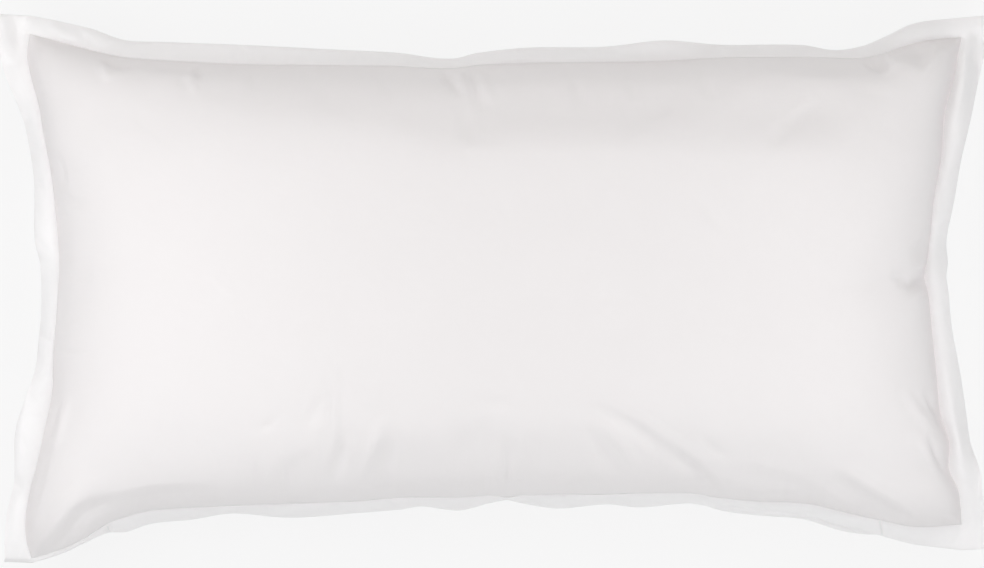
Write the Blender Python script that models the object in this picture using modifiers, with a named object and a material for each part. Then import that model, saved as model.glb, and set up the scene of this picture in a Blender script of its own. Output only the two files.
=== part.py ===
"""A king-size pillowcase with a flat sewn border, filled by its pillow and lying on its back.

Three solids: the filled body out to its stitch line, and the two cloth layers of the border
round it. Metres, +Z up. The part rests on Z = 0, with its length along X, its width along Y
and its origin at the bottom centre of its box.
"""

import math
from collections import namedtuple

import bmesh
import bpy
from mathutils import Matrix, Vector

MM = 0.001

# Fill
FRONT_SWELL = 0.079  # the crown's rise above the stitch line
BACK_SWELL = 0.074  # how far the underside would hang, before the surface flattens it
SIDE_HEIGHT = 0.062  # the stitch line above the surface, halfway along a side
EAR_HEIGHT = 0.046  # and at the corner ears

# How each side of the fill rounds over: a larger flatness keeps the crown level further out,
# and a larger bluntness makes the side steeper at the stitch line
Side = namedtuple("Side", "flatness bluntness")

LEFT_END = Side(3.3, 2.2)
RIGHT_END = Side(6.0, 2.5)
TOP_SIDE = Side(2.9, 2.4)
BOTTOM_SIDE = Side(2.8, 2.4)

# Cloth
CLOTH = 0.001  # one layer of the border, with its turned hem
LAYER_GAP = 0.0003  # between the border's two layers
SEAM_GAP = 0.0004  # between the body's rim and the border
STITCH_LAND = 0.0016  # level strip of the border beside the stitches
RIM = 2.0 * CLOTH + LAYER_GAP  # height of the body's sewn rim

# Mesh
LENGTH_CELLS = 66
WIDTH_CELLS = 34
END_CROWDING = 0.55  # 0 spaces the cells evenly, 1 crowds them towards the stitch line
BORDER_ROWS = (1.0, 0.5, 0.0)  # hem, middle and edge of the land, as shares of the border
AT_STITCHES = -1.0  # stands in for the share at the stitch line itself

# The four sewn edges, in millimetres. A row is a station along the edge: its place along X or
# Y, the distances of the stitch line and of the hem from the middle, and how far the border's
# middle and its hem lie above the stitch line
Station = namedtuple("Station", "along stitch hem roll tip")

TOP_EDGE = (
    Station(-448, 246, 264, 0, -3),
    Station(-418, 238, 258, 1, -5),
    Station(-389, 230, 251, 0, -6),
    Station(-357, 223, 240, -2, -8),
    Station(-321, 220, 238, -3, -8),
    Station(-244, 216, 235, -2, -7),
    Station(-166, 215, 231, -3, -9),
    Station(-89, 214, 227, -5, -10),
    Station(-60, 212, 223, -7, -10),
    Station(-36, 212, 222, -7, -10),
    Station(-14, 215, 227, -5, -10),
    Station(35, 217, 232, -3, -9),
    Station(109, 218, 233, -3, -9),
    Station(166, 219, 239, -1, -4),
    Station(221, 222, 235, -4, -9),
    Station(299, 223, 235, -5, -10),
    Station(332, 222, 230, -6, -10),
    Station(359, 222, 234, -4, -9),
    Station(381, 227, 243, -2, -8),
    Station(409, 237, 256, 1, -6),
    Station(455, 243, 262, 2, -3),
)
BOTTOM_EDGE = (
    Station(-446, 262, 266, -1, -2),
    Station(-415, 252, 256, -1, -2),
    Station(-394, 242, 246, -1, -2),
    Station(-373, 228, 237, -3, -6),
    Station(-355, 221, 236, -4, -12),
    Station(-331, 215, 228, -5, -13),
    Station(-292, 212, 224, -5, -13),
    Station(-252, 210, 218, -6, -14),
    Station(-196, 208, 222, -3, -12),
    Station(-137, 206, 218, -5, -13),
    Station(-89, 202, 214, -5, -13),
    Station(-68, 202, 211, -6, -14),
    Station(-33, 202, 215, -4, -12),
    Station(-3, 200, 208, -6, -13),
    Station(14, 202, 205, -7, -14),
    Station(29, 200, 208, -6, -13),
    Station(64, 199, 213, -3, -12),
    Station(111, 199, 209, -6, -14),
    Station(143, 198, 212, -4, -12),
    Station(192, 198, 208, -6, -14),
    Station(223, 203, 214, -5, -13),
    Station(259, 206, 218, -2, -8),
    Station(304, 208, 222, -2, -8),
    Station(335, 215, 229, -1, -6),
    Station(360, 221, 235, -1, -6),
    Station(379, 225, 240, -3, -10),
    Station(409, 231, 248, -2, -9),
    Station(455, 229, 254, 0, -3),
)
LEFT_EDGE = (
    Station(-262, 446, 472, 1, -2),
    Station(-244, 451, 472, 2, -5),
    Station(-220, 451, 470, 1, -8),
    Station(-190, 445, 463, -2, -10),
    Station(-172, 440, 462, -1, -6),
    Station(-140, 433, 461, 1, -1),
    Station(-103, 425, 450, 1, -2),
    Station(-80, 424, 442, -1, -8),
    Station(-55, 423, 439, -2, -11),
    Station(-17, 420, 436, -3, -12),
    Station(23, 418, 437, -2, -9),
    Station(47, 419, 442, 2, -4),
    Station(105, 425, 443, -1, -9),
    Station(153, 434, 451, -2, -10),
    Station(177, 438, 459, -1, -7),
    Station(205, 446, 471, 2, 0),
    Station(226, 450, 476, 2, 1),
    Station(246, 448, 478, 1, 1),
)
RIGHT_EDGE = (
    Station(-229, 455, 478, 1, -3),
    Station(-195, 451, 475, 2, -3),
    Station(-176, 442, 472, 6, 2),
    Station(-149, 442, 463, 9, -1),
    Station(-121, 433, 459, 8, 2),
    Station(-89, 430, 454, 5, -1),
    Station(-41, 425, 445, 3, -7),
    Station(-3, 421, 441, 4, -6),
    Station(10, 417, 439, 6, -3),
    Station(24, 420, 441, 4, -6),
    Station(47, 423, 440, 1, -10),
    Station(85, 427, 447, 2, -8),
    Station(126, 434, 454, 4, -6),
    Station(172, 438, 465, 8, 1),
    Station(204, 447, 472, 8, 2),
    Station(221, 450, 476, 6, 3),
    Station(243, 455, 478, 2, 1),
)

# The border's square corners, in millimetres: the tip, and its height above the stitch line
Corner = namedtuple("Corner", "x y lift")

CORNERS = {
    (-1, 1): Corner(-480, 265, 8),
    (1, 1): Corner(480, 264, 2),
    (-1, -1): Corner(-473, -265, -6),
    (1, -1): Corner(480, -253, -3),
}

# The opening in the lower border, in millimetres: how much wider the back layer is than the
# front one there, and how far its hem hangs away
Opening = namedtuple("Opening", "along reach drop")

OPENING = (
    Opening(-446, 0, 0),
    Opening(-373, 0, 0),
    Opening(-300, 0, 2),
    Opening(190, 0, 2),
    Opening(235, 3, 6),
    Opening(300, 3, 8),
    Opening(341, 6, 8),
    Opening(362, 4, 6),
    Opening(379, 0, 0),
    Opening(455, 0, 0),
)

# Folds in the front of the body, in millimetres: a soft ridge, or with a minus a soft trough,
# from one point to another
Fold = namedtuple("Fold", "x1 y1 x2 y2 half_width rise")

FOLDS = (
    Fold(-46, 212, -32, 186, 13, -6),  # pucker under the middle of the top seam
    Fold(-15, 208, -14, 178, 11, -4),
    Fold(355, 226, 388, 208, 13, -7),  # crease across the top right ear
    Fold(420, 10, 384, 12, 12, -6),  # pinch in the right side
    Fold(416, 6, 399, -8, 10, -4),
    Fold(405, -105, 440, -140, 14, -6),  # creases above the lower right ear
    Fold(424, -146, 442, -178, 12, -4),
    Fold(-160, -110, -172, -134, 13, -4),  # fan of folds at the lower left
    Fold(-153, -135, -153, -166, 13, 4),
    Fold(-110, -155, -126, -188, 15, 5),
    Fold(14, -168, 12, -200, 13, -6),  # crease down to the opening's middle
    Fold(100, -117, 160, -154, 17, -5),  # long crease to the lower right
    Fold(160, -154, 216, -199, 17, -7),
    Fold(112, -140, 142, -178, 16, 5),
    Fold(300, -158, 392, -224, 20, -4),
    Fold(-10, 172, 315, 170, 44, -4),  # shallow valley below the top roll
    Fold(330, 110, 335, -110, 110, 5),  # fill pushed up towards the right end
)

COTTON = (0.84, 0.83, 0.83)


def clear_scene():
    for item in list(bpy.data.objects):
        bpy.data.objects.remove(item)


def new_collection(name):
    collection = bpy.data.collections.new(name)
    bpy.context.scene.collection.children.link(collection)
    return collection


def cotton_material(name, roughness):
    material = bpy.data.materials.new(name)
    material.use_nodes = True
    shader = material.node_tree.nodes["Principled BSDF"]
    shader.inputs["Base Color"].default_value = (*COTTON, 1.0)
    shader.inputs["Roughness"].default_value = roughness
    shader.inputs["Metallic"].default_value = 0.0
    return material


def hermite(start, end, start_slope, end_slope, t):
    """Cubic from start to end, with the given slopes per unit of t."""
    rise = (3.0 - 2.0 * t) * t * t
    bend_in = (t - 1.0) * (t - 1.0) * t
    bend_out = (t - 1.0) * t * t
    return start + (end - start) * rise + start_slope * bend_in + end_slope * bend_out


def read_rows(rows, along):
    """Every column of a table at one place, on smooth curves through its rows."""
    spot = max(i for i, row in enumerate(rows[:-1]) if row.along <= along or i == 0)
    here, there = rows[spot], rows[spot + 1]
    before = rows[max(spot - 1, 0)]
    after = rows[min(spot + 2, len(rows) - 1)]
    span = there.along - here.along
    values = [
        hermite(
            here[c],
            there[c],
            (there[c] - before[c]) / (there.along - before.along) * span,
            (after[c] - here[c]) / (after.along - here.along) * span,
            (along - here.along) / span,
        )
        for c in range(1, len(here))
    ]
    return type(here)(along, *values)


def station(rows, share):
    """An edge's station at a share, from -1 to 1, of its length."""
    first, last = rows[0].along, rows[-1].along
    return read_rows(rows, first + (last - first) * (share + 1.0) / 2.0)


def mix(start, end, share):
    return start + (end - start) * share


def corner_blend(u, v, below, above):
    """Mixes four corner values, given as (left, right) pairs, at shares u and v of the panel."""
    return mix(mix(*below, u), mix(*above, u), v)


def stitch_point(a, b):
    """Plan position inside the stitch line, blended from its four edges."""
    top, bottom = station(TOP_EDGE, a), station(BOTTOM_EDGE, a)
    left, right = station(LEFT_EDGE, b), station(RIGHT_EDGE, b)
    u, v = (a + 1.0) / 2.0, (b + 1.0) / 2.0
    x = mix(bottom.along, top.along, v) + mix(-left.stitch, right.stitch, u)
    x -= corner_blend(
        u,
        v,
        (BOTTOM_EDGE[0].along, BOTTOM_EDGE[-1].along),
        (TOP_EDGE[0].along, TOP_EDGE[-1].along),
    )
    y = mix(-bottom.stitch, top.stitch, v) + mix(left.along, right.along, u)
    y -= corner_blend(
        u,
        v,
        (LEFT_EDGE[0].along, RIGHT_EDGE[0].along),
        (LEFT_EDGE[-1].along, RIGHT_EDGE[-1].along),
    )
    return x * MM, y * MM


def stitch_height(a, b):
    """Height of the stitch line, which droops towards the ears."""
    return SIDE_HEIGHT - (SIDE_HEIGHT - EAR_HEIGHT) * (a * b) ** 4


def roundness(share, low_side, high_side):
    """Section of the fill: 1 along the middle, 0 with a blunt side at the stitch line."""
    side = high_side if share > 0 else low_side
    return max(0.0, 1.0 - abs(share) ** side.flatness) ** (1.0 / side.bluntness)


def swell(a, b):
    return roundness(a, LEFT_END, RIGHT_END) * roundness(b, BOTTOM_SIDE, TOP_SIDE)


def fold_rise(fold, x, y):
    """Height that one fold adds at a point, both in millimetres."""
    run_x, run_y = fold.x2 - fold.x1, fold.y2 - fold.y1
    reach = ((x - fold.x1) * run_x + (y - fold.y1) * run_y) / (run_x**2 + run_y**2)
    reach = min(1.0, max(0.0, reach))
    off_x, off_y = x - fold.x1 - reach * run_x, y - fold.y1 - reach * run_y
    nearness = max(0.0, 1.0 - (off_x**2 + off_y**2) / fold.half_width**2)
    return fold.rise * nearness**2


def body_point(a, b, front):
    """A point of the filled body's front or back."""
    x, y = stitch_point(a, b)
    height = stitch_height(a, b)
    if front:
        fullness = swell(a, b)
        folds = sum(fold_rise(fold, x / MM, y / MM) for fold in FOLDS)
        fold_share = min(1.0, fullness / 0.35)
        return x, y, height + RIM / 2 + FRONT_SWELL * fullness + folds * MM * fold_share
    return x, y, max(0.0, height - RIM / 2 - BACK_SWELL * swell(a, b))


def layer_station(rows, share, is_back):
    """A station of one border layer: at the opening the back one hangs away from the front."""
    spot = station(rows, share)
    if not is_back or rows is not BOTTOM_EDGE:
        return spot, 0.0
    slack = read_rows(OPENING, spot.along)
    drop = max(0.0, slack.drop)
    spot = spot._replace(roll=spot.roll - drop / 2.0, tip=spot.tip - drop)
    return spot, max(0.0, slack.reach) / (spot.hem - spot.stitch)


def across(spot, share):
    """Distance from the middle, in millimetres: at the stitches, or at a share of the border."""
    stitches = spot.stitch + SEAM_GAP / MM
    if share == AT_STITCHES:
        return stitches
    start = stitches + STITCH_LAND / MM
    return start + (spot.hem - start) * share


def border_rise(spot, share):
    """Height above the stitch line: a level land, then the roll, then straight to the hem."""
    if share <= 0.0:
        return 0.0
    if share <= 0.5:
        return spot.roll * share / 0.5
    return spot.roll + (spot.tip - spot.roll) * (share - 0.5) / 0.5


def border_point(a, b, out_a, out_b, is_back):
    """A point of a border layer. out_a and out_b are the shares of its width crossed there."""
    side_a, side_b = (1 if a > 0 else -1), (1 if b > 0 else -1)
    side, longer = layer_station(TOP_EDGE if side_b > 0 else BOTTOM_EDGE, a, is_back)
    end = layer_station(RIGHT_EDGE if side_a > 0 else LEFT_EDGE, b, is_back)[0]
    at_end, at_side = abs(a) == 1.0, abs(b) == 1.0
    if out_b == 1.0:
        out_b += longer
    x = side_a * across(end, out_a) if at_end else side.along
    y = side_b * across(side, out_b) if at_side else end.along
    if at_end and at_side:
        tip = CORNERS[side_a, side_b]
        turn_a, turn_b = max(0.0, out_a), max(0.0, out_b)
        x += (tip.x - side_a * end.hem) * turn_a * turn_b
        y += (tip.y - side_b * side.hem) * turn_a * turn_b
        rise = border_rise(side, turn_b) * (1 - turn_a) + border_rise(end, turn_a) * (1 - turn_b)
        rise += tip.lift * turn_a * turn_b
    else:
        rise = border_rise(side, out_b) if at_side else border_rise(end, out_a)
    return x * MM, y * MM, stitch_height(a, b) + rise * MM


def crowded(share):
    """Spaces the cells closer towards the stitch line, where the sides turn down."""
    return (1.0 - END_CROWDING) * share + END_CROWDING * math.sin(share * math.pi / 2.0)


def border_place(place, cells):
    """Panel coordinate and share of the border crossed, for a grid line of the bordered panel."""
    rows = len(BORDER_ROWS)
    line = round((place + 1.0) / 2.0 * (cells + 2 * rows))
    if line < rows:
        return -1.0, BORDER_ROWS[line]
    if line > rows + cells:
        return 1.0, BORDER_ROWS[2 * rows + cells - line]
    if line in (rows, rows + cells):
        return (-1.0 if line == rows else 1.0), AT_STITCHES
    return crowded(2.0 * (line - rows) / cells - 1.0), AT_STITCHES


def add_piece(name, bm, collection, material):
    """Turns a finished bmesh into a named object."""
    mesh = bpy.data.meshes.new(name)
    bm.to_mesh(mesh)
    bm.free()
    mesh.shade_smooth()
    mesh.materials.append(material)
    piece = bpy.data.objects.new(name, mesh)
    collection.objects.link(piece)
    return piece


def make_filled_body(collection):
    """Front and back panels out to the stitch line, as one solid filled by the pillow."""
    bm = bmesh.new()
    for is_front in (True, False):
        panel = bmesh.ops.create_grid(
            bm, x_segments=LENGTH_CELLS, y_segments=WIDTH_CELLS, size=1.0
        )["verts"]
        for vert in panel:
            vert.co = body_point(crowded(vert.co.x), crowded(vert.co.y), is_front)
    rims = [edge for edge in bm.edges if edge.is_boundary]
    bmesh.ops.bridge_loops(bm, edges=rims)
    resting = [face for face in bm.faces if all(vert.co.z == 0.0 for vert in face.verts)]
    bmesh.ops.dissolve_faces(bm, faces=resting, use_verts=True)
    bmesh.ops.recalc_face_normals(bm, faces=bm.faces[:])
    return add_piece("filled_body", bm, collection, cotton_material("percale_body", 0.9))


def make_border_layer(name, collection, is_back):
    """One layer of the flat border: a panel with its middle left out, given its thickness."""
    rows = len(BORDER_ROWS)
    bm = bmesh.new()
    bmesh.ops.create_grid(
        bm,
        x_segments=LENGTH_CELLS + 2 * rows,
        y_segments=WIDTH_CELLS + 2 * rows,
        size=1.0,
    )
    inside_x = LENGTH_CELLS / (LENGTH_CELLS + 2 * rows)
    inside_y = WIDTH_CELLS / (WIDTH_CELLS + 2 * rows)
    middle = [
        face
        for face in bm.faces
        if abs(face.calc_center_median().x) < inside_x
        and abs(face.calc_center_median().y) < inside_y
    ]
    bmesh.ops.delete(bm, geom=middle, context="FACES")
    for vert in bm.verts:
        a, out_a = border_place(vert.co.x, LENGTH_CELLS)
        b, out_b = border_place(vert.co.y, WIDTH_CELLS)
        vert.co = border_point(a, b, out_a, out_b, is_back)
    bmesh.ops.triangulate(bm, faces=bm.faces[:], quad_method="FIXED")
    layer = add_piece(name, bm, collection, cotton_material(name, 0.9))
    wall = layer.modifiers.new("cloth", "SOLIDIFY")
    wall.thickness = CLOTH
    wall.offset = (-1.0 if is_back else 1.0) * (1.0 + LAYER_GAP / CLOTH)
    wall.use_even_offset = True
    return layer


def centre_in_plan(pieces):
    """Brings the middle of the whole outline onto the Z axis."""
    graph = bpy.context.evaluated_depsgraph_get()
    corners = [Vector(corner) for piece in pieces for corner in piece.evaluated_get(graph).bound_box]
    lowest_x, highest_x = min(c.x for c in corners), max(c.x for c in corners)
    lowest_y, highest_y = min(c.y for c in corners), max(c.y for c in corners)
    middle = Vector(((lowest_x + highest_x) / 2.0, (lowest_y + highest_y) / 2.0, 0.0))
    for piece in pieces:
        piece.data.transform(Matrix.Translation(-middle))


def main():
    clear_scene()
    collection = new_collection("flanged_pillowcase")
    pieces = [
        make_filled_body(collection),
        make_border_layer("border_front", collection, is_back=False),
        make_border_layer("border_back", collection, is_back=True),
    ]
    centre_in_plan(pieces)


main()
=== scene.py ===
"""Dresses a filled king-size pillowcase: cotton panels, flat border, seam stitches and tacks."""

import math
from collections import namedtuple

import bmesh
import bpy
import numpy as np
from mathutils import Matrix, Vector
from mathutils.bvhtree import BVHTree


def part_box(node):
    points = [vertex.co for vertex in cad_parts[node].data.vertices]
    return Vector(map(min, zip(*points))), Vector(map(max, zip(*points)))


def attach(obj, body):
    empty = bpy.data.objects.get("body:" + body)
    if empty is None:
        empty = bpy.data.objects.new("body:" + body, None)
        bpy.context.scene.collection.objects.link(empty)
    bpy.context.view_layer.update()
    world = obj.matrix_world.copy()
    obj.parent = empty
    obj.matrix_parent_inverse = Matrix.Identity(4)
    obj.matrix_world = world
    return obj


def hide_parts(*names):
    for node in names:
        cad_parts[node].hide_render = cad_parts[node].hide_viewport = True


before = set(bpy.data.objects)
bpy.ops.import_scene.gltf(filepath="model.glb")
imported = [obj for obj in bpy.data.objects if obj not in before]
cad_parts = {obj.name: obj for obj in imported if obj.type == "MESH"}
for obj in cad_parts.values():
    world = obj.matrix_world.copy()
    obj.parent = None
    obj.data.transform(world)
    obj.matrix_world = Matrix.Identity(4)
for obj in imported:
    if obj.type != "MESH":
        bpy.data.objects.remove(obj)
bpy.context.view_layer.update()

MM = 0.001

# Fill
FRONT_SWELL = 0.075  # the crown's rise above the stitch line
BACK_SWELL = 0.074  # how far the underside would hang, before the surface flattens it
SIDE_HEIGHT = 0.062  # the stitch line above the surface, halfway along a side
EAR_HEIGHT = 0.046  # and at the corner ears
EAR_NARROWNESS = 4  # how close to the ears it droops

# How each side of the fill rounds over: a larger flatness keeps the crown level further out,
# and a larger bluntness makes the side steeper at the stitch line
Side = namedtuple("Side", "flatness bluntness")

LEFT_END = Side(3.3, 2.2)
RIGHT_END = Side(6.0, 2.5)
TOP_SIDE = Side(2.9, 2.4)
BOTTOM_SIDE = Side(2.8, 2.4)

# Cloth
CLOTH = 0.0007  # one layer of the border
LAYER_GAP = 0.0003  # between the border's two layers
RIM = 0.0019  # height of the body's sewn rim
SEAM_DRAW = 0.0042  # how far in the stitches draw the panels flat
SEAM_LAP = 0.0003  # how far the sewn rim runs under the border's rounded edge
POCKET = (0.90, 0.50)  # the case laid flat, inside the stitches
BORDER_WIDTH = 0.025  # laid flat

# Seam and hem
SEAM_PUCKER = 0.5  # millimetres that the fill's sides pucker next to the stitches
PUCKER_REACH = (0.025, 0.05)  # shares of the panel's length and width that the puckers fade over
SEAM_HOLD = 0.007  # distance in from the stitches over which folds and creases set in
LEVEL_SHARE = 0.06  # share of the border's width that stays level beside the stitches
STIFF_SHARE = 0.25  # share of its width where the stitches hold its creases down
HEM_RIPPLE = 0.9  # millimetres that the hem waves up and down
HEM_CURL = (1.6, 0.8)  # millimetres that the lower and the upper hem turn down at the edge
CURL_NARROWNESS = 10  # how close to the edge they do
HEM_ROUNDING = 0.00022  # of the border's edge
SHARP_BEND = math.radians(50.0)  # edges that bend more than this are rounded

# Easing of the border's corners
EASE_STEPS = 160
CORNER_REACH = 0.045  # how far from a corner it fades
LEAST_EASE = 0.01  # points with less than this are left alone

# Filling of the panels by cloth simulation
SIM_FRAMES = 20
SLACK = 0.004  # share by which the cloth is longer than its shape
MOVE_CAP = 0.005  # the most that a point can move
CORNER_CALM = 2.5  # how much less the corners move
RESTING_HEIGHT = 0.0005  # points below this lie on the surface

# Mesh
BODY_CELLS = (140, 78)
BORDER_CELLS = (420, 240)
BORDER_ROWS = 15  # cells across the border
END_CROWDING = 0.55  # how much closer the body's cells are at the stitch line
BORDER_CROWDING = 0.2  # and the border's cells at its corners
ON_SEAM = 0.9999  # share of the panel beyond which a point is on the stitch line
LENGTH_SAMPLES = 801  # points along a section that is measured

# Ripples and fades. The lengths of their waves are in millimetres, along X and along Y
PUCKER_WAVES = (17.0, 29.0, 12.0), (15.0, 26.0, 11.0)
HEM_WAVES = (41.0, 27.0, 66.0), (34.0, 23.0, 71.0)
WAVE_SHIFT = 1.7  # radians that set the waves of a ripple apart
CREASE_START = 0.12  # how far into its fade a crease starts

# The four sewn edges, in millimetres. A row is a station along the edge: its place along X or
# Y, the distances of the stitch line and of the hem from the middle, and how far the border's
# middle and its hem lie above the stitch line
Station = namedtuple("Station", "along stitch hem roll tip")

TOP_EDGE = (
    Station(-448, 246, 264, 0, -3),
    Station(-418, 238, 258, 1, -5),
    Station(-389, 230, 251, 0, -6),
    Station(-357, 223, 240, -2, -8),
    Station(-321, 220, 238, -3, -8),
    Station(-244, 216, 235, -2, -7),
    Station(-166, 215, 231, -3, -9),
    Station(-89, 214, 227, -5, -10),
    Station(-60, 212, 223, -7, -10),
    Station(-36, 212, 222, -7, -10),
    Station(-14, 215, 227, -5, -10),
    Station(35, 217, 232, -3, -9),
    Station(109, 218, 233, -3, -9),
    Station(166, 219, 239, -1, -4),
    Station(221, 222, 235, -4, -9),
    Station(299, 223, 235, -5, -10),
    Station(332, 222, 230, -6, -10),
    Station(359, 222, 234, -4, -9),
    Station(381, 227, 243, -2, -8),
    Station(409, 237, 256, 1, -6),
    Station(455, 243, 262, 2, -3),
)
BOTTOM_EDGE = (
    Station(-446, 262, 266, -1, -2),
    Station(-415, 252, 256, -1, -2),
    Station(-394, 242, 246, -1, -2),
    Station(-373, 228, 237, -3, -6),
    Station(-355, 221, 236, -4, -12),
    Station(-331, 215, 228, -5, -13),
    Station(-292, 212, 224, -5, -13),
    Station(-252, 210, 218, -6, -14),
    Station(-196, 208, 222, -3, -12),
    Station(-137, 206, 218, -5, -13),
    Station(-89, 202, 214, -5, -13),
    Station(-68, 202, 211, -6, -14),
    Station(-33, 202, 215, -4, -12),
    Station(-3, 200, 208, -6, -13),
    Station(14, 202, 205, -7, -14),
    Station(29, 200, 208, -6, -13),
    Station(64, 199, 213, -3, -12),
    Station(111, 199, 209, -6, -14),
    Station(143, 198, 212, -4, -12),
    Station(192, 198, 208, -6, -14),
    Station(223, 203, 214, -5, -13),
    Station(259, 206, 218, -2, -8),
    Station(304, 208, 222, -2, -8),
    Station(335, 215, 229, -1, -6),
    Station(360, 221, 235, -1, -6),
    Station(379, 225, 240, -3, -10),
    Station(409, 231, 248, -2, -9),
    Station(455, 229, 254, 0, -3),
)
LEFT_EDGE = (
    Station(-262, 446, 472, 1, -2),
    Station(-244, 451, 472, 2, -5),
    Station(-220, 451, 470, 1, -8),
    Station(-190, 445, 463, -2, -10),
    Station(-172, 440, 462, -1, -6),
    Station(-140, 433, 461, 1, -1),
    Station(-103, 425, 450, 1, -2),
    Station(-80, 424, 442, -1, -8),
    Station(-55, 423, 439, -2, -11),
    Station(-17, 420, 436, -3, -12),
    Station(23, 418, 437, -2, -9),
    Station(47, 419, 442, 2, -4),
    Station(105, 425, 443, -1, -9),
    Station(153, 434, 451, -2, -10),
    Station(177, 438, 459, -1, -7),
    Station(205, 446, 471, 2, 0),
    Station(226, 450, 476, 2, 1),
    Station(246, 448, 478, 1, 1),
)
RIGHT_EDGE = (
    Station(-229, 455, 478, 1, -3),
    Station(-195, 451, 475, 2, -3),
    Station(-176, 442, 472, 6, 2),
    Station(-149, 442, 463, 9, -1),
    Station(-121, 433, 459, 8, 2),
    Station(-89, 430, 454, 5, -1),
    Station(-41, 425, 445, 3, -7),
    Station(-3, 421, 441, 4, -6),
    Station(10, 417, 439, 6, -3),
    Station(24, 420, 441, 4, -6),
    Station(47, 423, 440, 1, -10),
    Station(85, 427, 447, 2, -8),
    Station(126, 434, 454, 4, -6),
    Station(172, 438, 465, 8, 1),
    Station(204, 447, 472, 8, 2),
    Station(221, 450, 476, 6, 3),
    Station(243, 455, 478, 2, 1),
)

# The border's square corners, in millimetres: the tip, and its height above the stitch line
Corner = namedtuple("Corner", "x y lift")

CORNERS = {
    (-1, 1): Corner(-480, 265, 8),
    (1, 1): Corner(480, 264, 2),
    (-1, -1): Corner(-473, -265, -6),
    (1, -1): Corner(480, -253, -3),
}

# The opening in the lower border, in millimetres: how much wider the back layer is than the
# front one there, and how far its hem hangs away
Opening = namedtuple("Opening", "along reach drop")

OPENING = (
    Opening(-446, 0, 0),
    Opening(-373, 0, 0),
    Opening(-300, 0, 2),
    Opening(190, 0, 2),
    Opening(235, 3, 6),
    Opening(300, 3, 8),
    Opening(341, 6, 8),
    Opening(362, 4, 6),
    Opening(379, 0, 0),
    Opening(455, 0, 0),
)

# Broad forms of the front, in millimetres: a soft rise, or with a minus a soft hollow, from one
# point to another
Fold = namedtuple("Fold", "x1 y1 x2 y2 half_width rise")

FOLDS = (
    Fold(-10, 172, 315, 170, 44, -4),  # shallow valley below the top roll
    Fold(330, 110, 335, -110, 110, 5),  # fill pushed up towards the right end
)

# Creases along bent lines, in millimetres: a ridge, or with a minus a trough. They start
# strong at their first point and fade at their last one; a sharpness of 0 is soft, 1 pointed
Crease = namedtuple("Crease", "x1 y1 x2 y2 x3 y3 half_width rise sharpness")

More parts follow.
